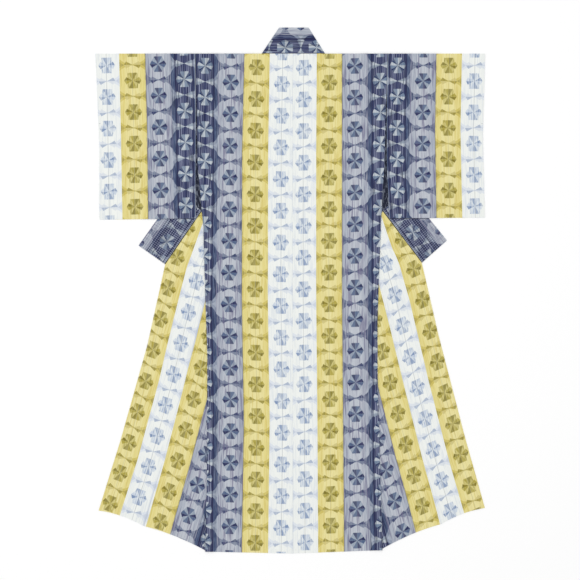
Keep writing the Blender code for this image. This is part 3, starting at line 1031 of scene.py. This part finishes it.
def back_row(half, down, cloth):
    """One row of the back, from the side seam over the folded front to the centre."""
    side = back_side(half, down, cloth)
    fold = fold_out(half, down)

    def place(out, height):
        up = back_up(half, down, out)
        rise = max(seam_rise(side - out, cloth), seam_rise(out - GAP / 2, cloth),
                   hem_rise(half.side[-1][0] - down, cloth))
        uv = straight_uv(BACK_STRIPES[half.name], -up, out, half.sign)
        return (half.sign * out, up, height + rise), uv

    row = {}
    for step, out in enumerate(under_outs(half, down, side)):
        row["under", step] = place(out, BACK_LAYER)
    for step in range(1, SETTLING_COLUMNS + 1):
        height = BACK_LAYER + (GROUND_LAYER - BACK_LAYER) * smooth(0, SETTLING_COLUMNS, step)
        row["settling", step] = place(fold - SETTLE * step / SETTLING_COLUMNS, height)
    centre_outs = across_cloth(fold - SETTLE, GAP / 2, CENTRE_COLUMNS, near_end=NEAR_SEAM)
    for step, out in enumerate(centre_outs[1:]):
        row["centre", step] = place(out, GROUND_LAYER)
    return row


def shoulder_row(half, turn, cloth):
    """One row of the shoulder fold, from the back at turn 0 to the front at turn 1."""
    radius = (BACK_LAYER - FRONT_LAYER) / 2
    middle = (BACK_LAYER + FRONT_LAYER) / 2
    side = back_side(half, 0, cloth) * (1 - turn) + front_side(half, 0) * turn
    row = {}
    for step, out in enumerate(under_outs(half, 0, side)):
        u, v = straight_uv(BACK_STRIPES[half.name], 0, out, half.sign)
        rise = seam_rise(side - out, cloth) * (1 - turn)
        place = (half.sign * out, radius * sin(pi * turn), middle + radius * cos(pi * turn) + rise)
        row["under", step] = place, (u + FRONT_SHIFT * turn, v - half.sign * radius * pi * turn)
    return row


def hem_curve(down, hem_down, part):
    """How far up the page a slanting hem curves, at a part of the way along it."""
    return smooth(hem_down - HEM_CURVE_LENGTH, hem_down, down) * HEM_CURVE * 4 * part * (1 - part)


def turned_place(half, down, part):
    """A place of the turned-out front, at a part of the way from its fold to its seam."""
    hem_down = half.side[-1][0]
    seam_down = down * half.seam[-1][0] / hem_down
    fold = fold_out(half, down)
    seam = at(half.seam, seam_down) - GAP / 2
    level = down + (seam_down - down) * part - hem_curve(down, hem_down, part)
    return fold + (seam - fold) * part, level


def front_row(half, down, cloth):
    """One row of the front: under the back to the slanting fold, round it, and out to the seam."""
    row = {}
    for step, out in enumerate(under_outs(half, down, front_side(half, down))):
        u, v = straight_uv(BACK_STRIPES[half.name], -down, out, half.sign)
        row["under", step] = (half.sign * out, -down, FRONT_LAYER), (u + FRONT_SHIFT, v)
    if down < FIRST_FOLD_ROW:
        return row

    fold = fold_out(half, down)
    radius = (FRONT_LAYER - GROUND_LAYER) / 2
    middle = (FRONT_LAYER + GROUND_LAYER) / 2
    fold_u, fold_v = slanting_uv(half, FRONT_STRIPES[half.name], down, fold, 1)
    for step, turn in enumerate(FOLD_TURNS, 1):
        place = (half.sign * (fold - radius * sin(turn)), -down, middle + radius * cos(turn))
        row["turn", step] = place, (fold_u + radius * (pi - turn), fold_v)

    seam = turned_place(half, down, 1)[0]
    rise_at_hem = hem_rise(half.side[-1][0] - down, cloth)
    for step, flat_out in enumerate(across_cloth(fold, seam, TURNED_COLUMNS, near_end=NEAR_SEAM)):
        part = (flat_out - fold) / (seam - fold)
        out, level = turned_place(half, down, part)
        height = GROUND_LAYER + max(seam_rise(seam - out, cloth), rise_at_hem) * smooth(0, 0.1, part)
        uv = slanting_uv(half, FRONT_STRIPES[half.name], level, out, 1)
        row["turned", step] = (half.sign * out, -level, height), uv
    return row


def tip_on_seam(half):
    """How far down the overlap's seam lies the row that ends at the collar's tip."""
    return half.edge[1][0] + half.seam[-1][0] - half.edge[-1][0]


def overlap_edges(half, seam_down):
    """Both ends of a row of the overlap: on its seam, and on the collar seam or the front edge."""
    point_down, tip_down = half.seam[1][0], half.edge[1][0]
    on_seam = (point_down, tip_on_seam(half), half.seam[-1][0])
    edge_down = float(np.interp(seam_down, on_seam, (point_down, tip_down, half.edge[-1][0])))
    edge = at(half.edge, edge_down) - (GAP / 2 if edge_down < tip_down else 0)
    return at(half.seam, seam_down) + GAP / 2, edge, edge_down


def overlap_place(half, seam_down, part):
    """A place of the overlap, at a part of the way from its seam to its outer edge."""
    seam, edge, edge_down = overlap_edges(half, seam_down)
    level = seam_down + (edge_down - seam_down) * part - hem_curve(seam_down, half.seam[-1][0], part)
    return seam + (edge - seam) * part, level


def overlap_rows(half, cloth):
    """Rows of the overlap panel, from its point at the collar down to the hem."""
    tip_down = half.edge[1][0]
    seam_hem = half.seam[-1][0]
    hem_rows = [seam_hem - near for near in NEAR_HEM]
    downs = steps(half.seam[1][0] + FIRST_OVERLAP_ROW, tip_on_seam(half), cloth.fineness)
    downs += steps(tip_on_seam(half), hem_rows[-1], cloth.fineness)[1:] + hem_rows[-2::-1]
    rows = []
    for seam_down in downs:
        seam, edge, edge_down = overlap_edges(half, seam_down)
        row = {}
        for step, flat_out in enumerate(across_cloth(seam, edge, OVERLAP_COLUMNS, NEAR_SEAM, NEAR_HEM)):
            part = (flat_out - seam) / (edge - seam)
            out, level = overlap_place(half, seam_down, part)
            from_edge = hem_rise(edge - out, cloth) if edge_down > tip_down else seam_rise(edge - out, cloth)
            rise = max(seam_rise(out - seam, cloth), from_edge, hem_rise(seam_hem - seam_down, cloth))
            uv = slanting_uv(half, OVERLAP_STRIPES[half.name], level, out, -1)
            row[step] = (half.sign * out, -level, GROUND_LAYER + rise), uv
        rows.append(row)
    return rows


def collar_rows(half, cloth):
    """Rows of one end of the collar, folded lengthwise at its outer edge so that it lies double."""
    sewn_edge = list(half.seam[:2]) + [half.edge[1]]
    stretches = list(zip(sewn_edge, half.collar))
    lines = []
    distance = 0.0
    for start, end in zip(stretches, stretches[1:]):
        long = hypot(end[0][0] - start[0][0], end[0][1] - start[0][1])
        for place in steps(0, long, cloth.fineness)[1 if lines else 0:]:
            sewn = [a + (b - a) * place / long for a, b in zip(start[0], end[0])]
            free = [a + (b - a) * place / long for a, b in zip(start[1], end[1])]
            lines.append((sewn[0], sewn[1] + GAP / 2, free[0], free[1], distance + place))
        distance += long
    return [collar_row(half, line, distance - line[-1], cloth) for line in lines]


def collar_row(half, line, from_end, cloth):
    """One row of the collar: its lower layer, the fold at its outer edge, and its upper layer."""
    sewn_down, sewn_out, free_down, free_out, _ = line
    width = hypot(free_down - sewn_down, free_out - sewn_out)
    low, high = cloth.collar_wall / 2, SOLID_COLLAR - cloth.collar_wall / 2
    radius = (high - low) / 2
    inset = radius + cloth.collar_wall / 2
    v = half.sign * (from_end - COLLAR_WHEEL_FROM_END[half.name] - PITCH / 2)

    def place(inside, height):
        """A place at this distance from the sewn edge."""
        part = inside / width
        out = sewn_out + (free_out - sewn_out) * part
        down = sewn_down + (free_down - sewn_down) * part
        return half.sign * out, -down, height

    row = {}
    lies = [*COLLAR_NEAR_SEAM, *np.linspace(COLLAR_COLUMNS_FROM, width - inset, COLLAR_COLUMNS)]
    for step, inside in enumerate(lies):
        row["lower", step] = place(inside, low), (COLLAR_SEWN_U - 2 * width + inside, v)
    for step, turn in enumerate(FOLD_TURNS, 1):
        inside = width - inset + radius * sin(turn)
        row["turn", step] = place(inside, low + radius - radius * cos(turn)), (COLLAR_SEWN_U - inside, v)
    for step, inside in enumerate(reversed(lies)):
        row["upper", step] = place(inside, high), (COLLAR_SEWN_U - inside, v)
    return row


def sleeve_place(half, length_part, width_part, seam_back=0.0):
    """A place of a sleeve by its parts of the length and width."""
    seam_bottom, cuff_bottom = half.sleeve_seam[-1][0], half.cuff[-1][0]
    down = length_part * (seam_bottom + (cuff_bottom - seam_bottom) * width_part)
    seam = at(half.sleeve_seam, down) + GAP / 2 + seam_back
    return seam + (at(half.cuff, down) - seam) * width_part, down


def sleeve_rows(half, cloth):
    """Rows of a sleeve: one length folded at the top and closed along its bottom."""
    cuff_bottom = half.cuff[-1][0]
    radius = UPPER_SLEEVE / 2
    outs = across_cloth(half.sleeve_seam[0][1], half.cuff[0][1], SLEEVE_COLUMNS, NEAR_SEAM, NEAR_HEM)
    width_parts = [(out - outs[0]) / (outs[-1] - outs[0]) for out in outs]
    downs = across_cloth(0, cuff_bottom, SLEEVE_ROWS, NEAR_SEAM, NEAR_SEAM)
    length_parts = [down / cuff_bottom for down in downs]

    def place(length_part, width_part, beyond, above):
        """A place by its parts of the length and width, moved up the page and above the lower layer."""
        upper = above / UPPER_SLEEVE
        back = armhole_groove(length_part * half.sleeve_seam[-1][0], cloth) * upper
        out, down = sleeve_place(half, length_part, width_part, back)
        seam = sleeve_place(half, length_part, 0, back)[0]
        cuff = sleeve_place(half, length_part, 1)[0]
        grounded = (out - SLEEVE_RAISED_TO) / (SLEEVE_GROUND_FROM - SLEEVE_RAISED_TO)
        lower = FRONT_LAYER + (GROUND_LAYER - FRONT_LAYER) * min(1.0, max(0.0, grounded))
        rise = max(seam_rise(out - seam, cloth), hem_rise(cuff - out, cloth)) if upper > 0.5 else 0
        uv = straight_uv(SLEEVE_STRIPES[half.name], down if upper > 0.5 else -down, out, -half.sign)
        return (half.sign * out, beyond - down, lower + above + rise), uv

    around = [(part, 0, UPPER_SLEEVE) for part in reversed(length_parts)]
    around += [(0, radius * sin(turn), radius + radius * cos(turn)) for turn in FOLD_TURNS]
    around += [(part, 0, 0) for part in length_parts]
    around += [(1, -radius * sin(turn), radius - radius * cos(turn)) for turn in FOLD_TURNS]
    rows = []
    for length_part, beyond, above in around:
        rows.append({step: place(length_part, width_part, beyond, above)
                     for step, width_part in enumerate(width_parts)})
    return rows


def neck_side(edge):
    """One side of the back-neck collar as (out, height, place on the cloth): flap, turn and top."""
    upper_layer = GROUND_LAYER + SOLID_WALL + GAP
    radius = (upper_layer - GROUND_LAYER) / 2
    flap_end = edge - NECK_FLAP
    side = [(out, GROUND_LAYER, 2 * edge + radius * pi - out) for out in steps(flap_end, edge, NECK_STEP)]
    for turn in FOLD_TURNS:
        side.append((edge + radius * sin(turn), upper_layer - radius - radius * cos(turn),
                     edge + radius * (pi - turn)))
    side += [(out, upper_layer, out) for out in steps(edge, flap_end - SOLID_WALL, NECK_STEP)]
    for part in (0.25, 0.5, 0.75, 1):
        out = flap_end - SOLID_WALL - (NECK_SETTLE - SOLID_WALL) * part
        side.append((out, upper_layer + (GROUND_LAYER - upper_layer) * smooth(0, 1, part), out))
    return side


def neck_rows(cloth):
    """Rows of the stretch of collar behind the neck, with its two sides turned under."""
    foot = NECK_SEAM + GAP / 2
    rows = []
    for up in across_cloth(foot, NECK_TOP, NECK_ROWS, NEAR_SEAM, NEAR_SEAM):
        part = (up - foot) / (NECK_TOP - foot)
        left, right = (neck_side(half.neck_foot + (half.neck_top - half.neck_foot) * part)
                       for half in (LEFT, RIGHT))
        line = [(-out, height, -cloth_out) for out, height, cloth_out in left]
        middle = np.linspace(-left[-1][0], right[-1][0], NECK_COLUMNS)[1:-1]
        line += [(out, GROUND_LAYER, out) for out in middle]
        line += reversed(right)
        rise = seam_rise(up - foot, cloth)
        cloth_u = NECK_FOOT_U - (up - foot) + NECK_EASED * (1 - smooth(0, NECK_EASED_LENGTH, up - foot))
        row = {}
        for step, (out, height, cloth_out) in enumerate(line):
            uv = (cloth_u, NECK_WHEEL_OUT + PITCH / 2 - cloth_out)
            on_top = height > GROUND_LAYER or abs(out) < left[-1][0]
            row[step] = (out, up, height + (rise if on_top else 0)), uv
        rows.append(row)
    return rows


def top_of(piece, out, up):
    """A place on the upper side of a piece, straight below a place on the page."""
    hit, place, _, _ = piece.ray_cast((CENTRE_X + out, SHOULDER_Y + up, 0.1), (0, 0, -1))
    if not hit:
        raise ValueError(f"{piece.name} has no cloth at {out:.4f}, {up:.4f}")
    return place


def hem_lines(half, cloth):
    """The lines that hem stitches follow, by piece: places (out, down) on one half, with out unsigned."""
    inside = cloth.hem_width - cloth.stitch_inside
    step = cloth.stitch_step
    hem_down = half.side[-1][0]
    back_outs = steps(STITCH_FROM_SIDE, half.side[-1][1] - STITCH_FROM_SIDE, step)
    back = [(out, -back_up(half, hem_down - inside, out)) for out in back_outs]

    fold, seam = fold_out(half, hem_down), turned_place(half, hem_down, 1)[0]
    front = [turned_place(half, hem_down - inside, (out - fold) / (seam - fold))
             for out in steps(fold + STITCH_FROM_FOLD, seam - STITCH_FROM_SEAM, step)]

    seam_hem = half.seam[-1][0]
    seam, edge, _ = overlap_edges(half, seam_hem)
    overlap_outs = steps(seam + STITCH_FROM_SEAM, edge - inside - STITCH_FROM_FOLD, step)
    overlap_hem = [overlap_place(half, seam_hem - inside, (out - seam) / (edge - seam))
                   for out in overlap_outs]
    overlap_edge = []
    edge_start = tip_on_seam(half) + STITCH_FROM_TIP
    for seam_down in steps(edge_start, seam_hem - inside, step * EDGE_STITCH_STEP):
        seam, edge, _ = overlap_edges(half, seam_down)
        overlap_edge.append(overlap_place(half, seam_down, 1 - inside / (edge - seam)))

    cuff = []
    for down in steps(STITCH_FROM_SEAM, half.cuff[-1][0] - STITCH_FROM_SEAM, step):
        length_part = down / half.cuff[-1][0]
        width = sleeve_place(half, length_part, 1)[0] - sleeve_place(half, length_part, 0)[0]
        cuff.append(sleeve_place(half, length_part, 1 - inside / width))
    return {"body": (back, front), "okumi": (overlap_hem, overlap_edge), "sleeve": (cuff,)}


def thread_piece(name, places, size, material):
    """Short threads on the cloth as one piece. Each place has a point and a direction on the page."""
    clear_selection()
    long, wide, high = size
    bpy.ops.mesh.primitive_uv_sphere_add(segments=6, ring_count=5, radius=0.5, rotation=(0, pi / 2, 0))
    first = bpy.context.object
    first.data.materials.append(material)
    bpy.ops.object.transform_apply(location=True, rotation=True, scale=True)
    bpy.ops.object.shade_smooth()
    for point, turn in places:
        copy = first.copy()
        copy.data = first.data.copy()
        copy.location = point
        copy.rotation_euler = (0, 0, turn)
        copy.scale = (long, wide, high)
        bpy.context.scene.collection.objects.link(copy)
        copy.select_set(True)
    bpy.data.objects.remove(first, do_unlink=True)
    bpy.context.view_layer.objects.active = bpy.context.selected_objects[0]
    bpy.ops.object.join()
    piece = bpy.context.object
    piece.name = name
    bpy.ops.object.transform_apply(location=True, rotation=True, scale=True)
    piece.select_set(False)
    return piece


def line_places(piece, half, line):
    """Points and directions of threads that follow a line of (out, down) on a piece."""
    places = []
    for number, (out, down) in enumerate(line):
        before, after = line[max(0, number - 1)], line[min(len(line) - 1, number + 1)]
        turn = atan2(before[1] - after[1], half.sign * (after[0] - before[0]))
        places.append((top_of(piece, half.sign * out, -down), turn))
    return places


def opening_bars(half, sleeve):
    """Where thread bars close the ends of the wrist opening and of the opening under the arm."""
    out, down = sleeve_place(half, WRIST_OPENING / half.cuff[-1][0], 1 - BAR_INSIDE_CUFF)
    wrist = top_of(sleeve, half.sign * out, -down)
    inside = Vector((half.sign * BAR_INSIDE_SEAM, 0, 0))
    armhole = at(half.sleeve_seam, UNDERARM_OPENING) + BAR_INSIDE_SEAM
    underarm = top_of(sleeve, half.sign * armhole, -UNDERARM_OPENING) - inside
    return [(wrist, 0.0), (underarm, 0.0)]


# The cut of the cloth that each piece shows: its width and length, and its area where that is less
CUTS = {
    "body": ((0.32, 3.29), 0.82),
    "okumi": ((0.16, 1.25), 0.165),
    "sleeve": ((0.33, 1.09), None),
    "collar": ((0.216, 0.75), 0.142),
    "collar_neck": ((0.26, 0.0855), 0.0175),
}


def declare(piece, node, slot, flat, area):
    """Attach the piece to the root and hide the solid that it stands for; slot, flat and area are not used.
    """
    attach(piece, "root")
    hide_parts(node)


def lay_out(slot, rows_of, cloth, wall, material, ring=False):
    """Lay out a panel of both halves, from the rows that its function gives."""
    for half in (LEFT, RIGHT):
        node = f"{slot}_{half.name}"
        piece = make_sheet(node + "_cloth", rows_of(half, cloth), wall, material, ring)
        declare(piece, node, slot, *CUTS[slot])


class KIMONO_OT_body(bpy.types.Operator):
    """Lay out both lengths of body cloth."""

    bl_idname = "kimono.body"
    bl_label = "Body panels"

    def execute(self, context):
        cloth, dyes = context.scene.kimono_cloth, context.scene.kimono_dyes
        lay_out("body", body_rows, cloth, cloth.wall, cotton(dyes))
        return {"FINISHED"}


class KIMONO_OT_overlaps(bpy.types.Operator):
    """Lay out both overlap panels."""

    bl_idname = "kimono.overlaps"
    bl_label = "Overlap panels"

    def execute(self, context):
        cloth, dyes = context.scene.kimono_cloth, context.scene.kimono_dyes
        lay_out("okumi", overlap_rows, cloth, cloth.wall, cotton(dyes))
        return {"FINISHED"}


class KIMONO_OT_sleeves(bpy.types.Operator):
    """Lay out both sleeves."""

    bl_idname = "kimono.sleeves"
    bl_label = "Sleeves"

    def execute(self, context):
        cloth, dyes = context.scene.kimono_cloth, context.scene.kimono_dyes
        lay_out("sleeve", sleeve_rows, cloth, cloth.wall, cotton(dyes), ring=True)
        return {"FINISHED"}


class KIMONO_OT_collar(bpy.types.Operator):
    """Lay out both ends of the collar and its stretch behind the neck."""

    bl_idname = "kimono.collar"
    bl_label = "Collar"

    def execute(self, context):
        cloth, dyes = context.scene.kimono_cloth, context.scene.kimono_dyes
        lay_out("collar", collar_rows, cloth, cloth.collar_wall, collar_cotton(dyes))
        neck = make_sheet("collar_neck_cloth", neck_rows(cloth), cloth.wall, neck_cotton(dyes))
        declare(neck, "collar_neck", "collar", *CUTS["collar_neck"])
        return {"FINISHED"}


class KIMONO_OT_sewing(bpy.types.Operator):
    """Sew the hems with small stitches, and close the ends of the openings with thread bars."""

    bl_idname = "kimono.sewing"
    bl_label = "Sewing"

    def execute(self, context):
        cloth = context.scene.kimono_cloth
        thread = sewing_thread(context.scene.kimono_dyes)
        stitches = {"body": [], "okumi": [], "sleeve": []}
        bars = []
        for half in (LEFT, RIGHT):
            for slot, lines in hem_lines(half, cloth).items():
                piece = bpy.data.objects[f"{slot}_{half.name}_cloth"]
                for line in lines:
                    stitches[slot] += line_places(piece, half, line)
            bars += opening_bars(half, bpy.data.objects[f"sleeve_{half.name}_cloth"])
        for slot, places in stitches.items():
            piece = thread_piece(f"{slot}_hem_stitches", places, cloth.stitch_size, thread)
            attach(piece, "root")
        piece = thread_piece("opening_bars", bars, cloth.bar_size, thread)
        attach(piece, "root")
        return {"FINISHED"}


# The stage: its floor, the key light's size, place and turn, and the camera's sensor and longest view
FLOOR_SIZE = 30
FLOOR_TOP = -0.0003
KEY_SIZE = 4.0
KEY_PLACE = (-0.9, 0.9, 6.5)
KEY_TURN = (-0.136, -0.138, 0)
SENSOR_WIDTH = 36
FARTHEST_SEEN = 100


class KIMONO_OT_stage(bpy.types.Operator):
    """Set the floor, the light and the camera."""

    bl_idname = "kimono.stage"
    bl_label = "Stage"

    def execute(self, context):
        stage = context.scene.kimono_stage
        make_floor(stage)
        make_lights(stage)
        make_camera(stage)
        return {"FINISHED"}


def make_floor(stage):
    """A white floor just under the garment."""
    clear_selection()
    bpy.ops.mesh.primitive_plane_add(size=FLOOR_SIZE, location=(0, 0, FLOOR_TOP))
    floor = bpy.context.object
    floor.name = "floor"
    bpy.ops.object.transform_apply(location=True, rotation=True, scale=True)
    graph = Graph("floor_paper")
    graph.shader.inputs["Base Color"].default_value = (*linear(stage.floor), 1)
    graph.shader.inputs["Roughness"].default_value = 0.9
    graph.shader.inputs["Specular IOR Level"].default_value = 0.1
    floor.data.materials.append(graph.material)
    floor.select_set(False)


def make_lights(stage):
    """Even light from all around and a large soft light from the upper left."""
    world = bpy.data.worlds.new("studio")
    world.use_nodes = True
    world.node_tree.nodes["Background"].inputs["Color"].default_value = (1, 1, 1, 1)
    world.node_tree.nodes["Background"].inputs["Strength"].default_value = stage.sky
    bpy.context.scene.world = world

    panel = bpy.data.lights.new("key", "AREA")
    panel.energy = stage.key
    panel.size = KEY_SIZE
    key = bpy.data.objects.new("key", panel)
    key.location = KEY_PLACE
    key.rotation_euler = KEY_TURN
    bpy.context.scene.collection.objects.link(key)
    bpy.context.scene.view_settings.view_transform = "Standard"


def make_camera(stage):
    """A long lens straight above, as far off as the picture's width on the floor asks for."""
    lens = bpy.data.cameras.new("camera")
    lens.lens = stage.lens
    lens.sensor_width = SENSOR_WIDTH
    across = stage.pixel * stage.picture
    camera = bpy.data.objects.new("camera", lens)
    distance = across * stage.lens / lens.sensor_width
    camera.location = (CENTRE_X + stage.centre_out, SHOULDER_Y - stage.centre_down, distance)
    lens.clip_end = FARTHEST_SEEN
    bpy.context.scene.collection.objects.link(camera)
    bpy.context.scene.camera = camera


class KIMONO_PT_panel(bpy.types.Panel):
    """Buttons and settings in the sidebar."""

    bl_idname = "KIMONO_PT_panel"
    bl_label = "Kimono laid flat"
    bl_space_type = "VIEW_3D"
    bl_region_type = "UI"
    bl_category = "Kimono"

    def draw(self, context):
        layout = self.layout
        for operator in (KIMONO_OT_body, KIMONO_OT_overlaps, KIMONO_OT_sleeves, KIMONO_OT_collar,
                         KIMONO_OT_sewing, KIMONO_OT_stage):
            layout.operator(operator.bl_idname)
        for settings in (context.scene.kimono_cloth, context.scene.kimono_dyes, context.scene.kimono_stage):
            for name in settings.bl_rna.properties.keys():
                if name not in ("rna_type", "name"):
                    layout.prop(settings, name)


CLASSES = (KimonoCloth, KimonoDyes, KimonoStage, KIMONO_OT_body, KIMONO_OT_overlaps, KIMONO_OT_sleeves,
           KIMONO_OT_collar, KIMONO_OT_sewing, KIMONO_OT_stage, KIMONO_PT_panel)


def register():
    """Make the settings and operators known, and give the scene its settings."""
    for each in CLASSES:
        bpy.utils.register_class(each)
    bpy.types.Scene.kimono_cloth = bpy.props.PointerProperty(type=KimonoCloth)
    bpy.types.Scene.kimono_dyes = bpy.props.PointerProperty(type=KimonoDyes)
    bpy.types.Scene.kimono_stage = bpy.props.PointerProperty(type=KimonoStage)


def unregister():
    """Take back what register() does."""
    del bpy.types.Scene.kimono_stage
    del bpy.types.Scene.kimono_dyes
    del bpy.types.Scene.kimono_cloth
    for each in reversed(CLASSES):
        bpy.utils.unregister_class(each)


def main():
    """Build the stage and the garment."""
    register()
    bpy.ops.kimono.stage()
    bpy.ops.kimono.body()
    bpy.ops.kimono.overlaps()
    bpy.ops.kimono.sleeves()
    bpy.ops.kimono.collar()
    bpy.ops.kimono.sewing()


if __name__ == "__main__":
    main()
